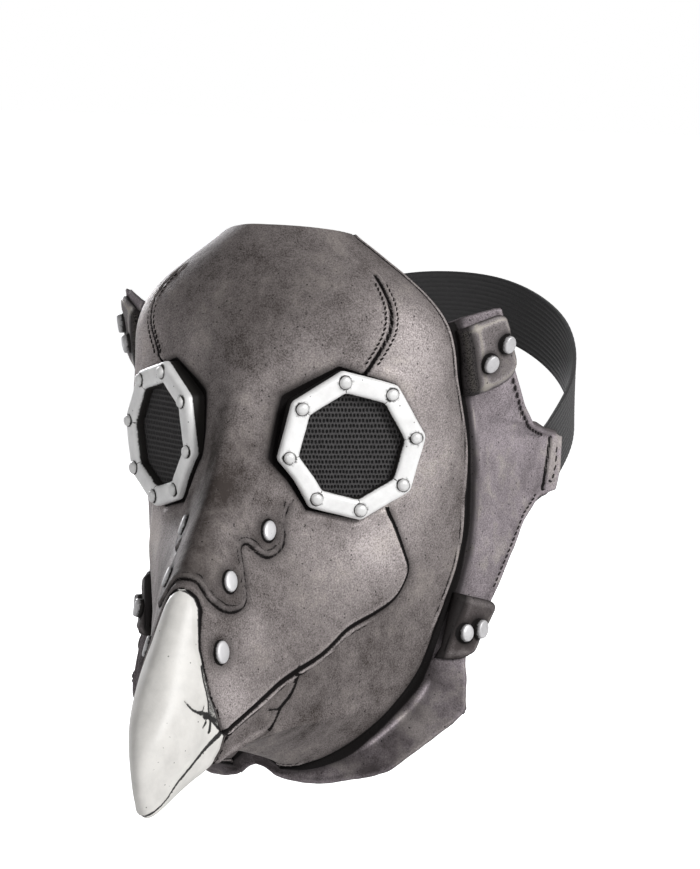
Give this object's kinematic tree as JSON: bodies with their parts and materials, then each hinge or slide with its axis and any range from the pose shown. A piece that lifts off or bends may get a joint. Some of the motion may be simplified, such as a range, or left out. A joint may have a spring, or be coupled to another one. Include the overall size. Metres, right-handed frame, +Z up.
{
  "type": "beaked face mask",
  "caption": "Hollow bird-beaked face mask with octagonal mesh eye ports, riveted side tabs, a rim band round the jaw and an elastic head strap.",
  "frame": {"origin": "midway between the centres of the two eye frames' front faces, at the face that the mask is worn on", "axes": "+X to the wearer's left, +Y to the back of the head, +Z up; the beak points to -Y"},
  "size_m": [0.1718, 0.315, 0.2188],
  "materials": {
    "shell_latex": "matt grey-brown latex with dark rubbed-in seams",
    "band_latex": "matt grey latex, slightly mauve, stitched edge",
    "tab_latex": "matt grey-brown latex",
    "tip_latex": "ivory paint with dark cracks",
    "frame_silver": "silver-white paint, black sides",
    "eye_mesh": "black fine mesh",
    "rivet_silver": "silver paint, domed",
    "strap_elastic": "black ribbed elastic"
  },
  "bodies": {
    "root": {"face_shell": "shell_latex", "beak_tip": "tip_latex", "rim_band": "band_latex", "head_strap": "strap_elastic", "eye_frame_l": "frame_silver", "eye_mesh_l": "eye_mesh", "frame_rivet_l1": "rivet_silver", "frame_rivet_l2": "rivet_silver", "frame_rivet_l3": "rivet_silver", "frame_rivet_l4": "rivet_silver", "frame_rivet_l5": "rivet_silver", "frame_rivet_l6": "rivet_silver", "frame_rivet_l7": "rivet_silver", "frame_rivet_l8": "rivet_silver", "beak_rivet_l1": "rivet_silver", "beak_rivet_l2": "rivet_silver", "beak_rivet_l3": "rivet_silver", "upper_tab_l": "tab_latex", "upper_tab_rivet_l1": "rivet_silver", "upper_tab_rivet_l2": "rivet_silver", "lower_tab_l": "tab_latex", "lower_tab_rivet_l1": "rivet_silver", "lower_tab_rivet_l2": "rivet_silver", "eye_frame_r": "frame_silver", "eye_mesh_r": "eye_mesh", "frame_rivet_r1": "rivet_silver", "frame_rivet_r2": "rivet_silver", "frame_rivet_r3": "rivet_silver", "frame_rivet_r4": "rivet_silver", "frame_rivet_r5": "rivet_silver", "frame_rivet_r6": "rivet_silver", "frame_rivet_r7": "rivet_silver", "frame_rivet_r8": "rivet_silver", "beak_rivet_r1": "rivet_silver", "beak_rivet_r2": "rivet_silver", "beak_rivet_r3": "rivet_silver", "upper_tab_r": "tab_latex", "upper_tab_rivet_r1": "rivet_silver", "upper_tab_rivet_r2": "rivet_silver", "lower_tab_r": "tab_latex", "lower_tab_rivet_r1": "rivet_silver", "lower_tab_rivet_r2": "rivet_silver"}
  },
  "joints": []
}
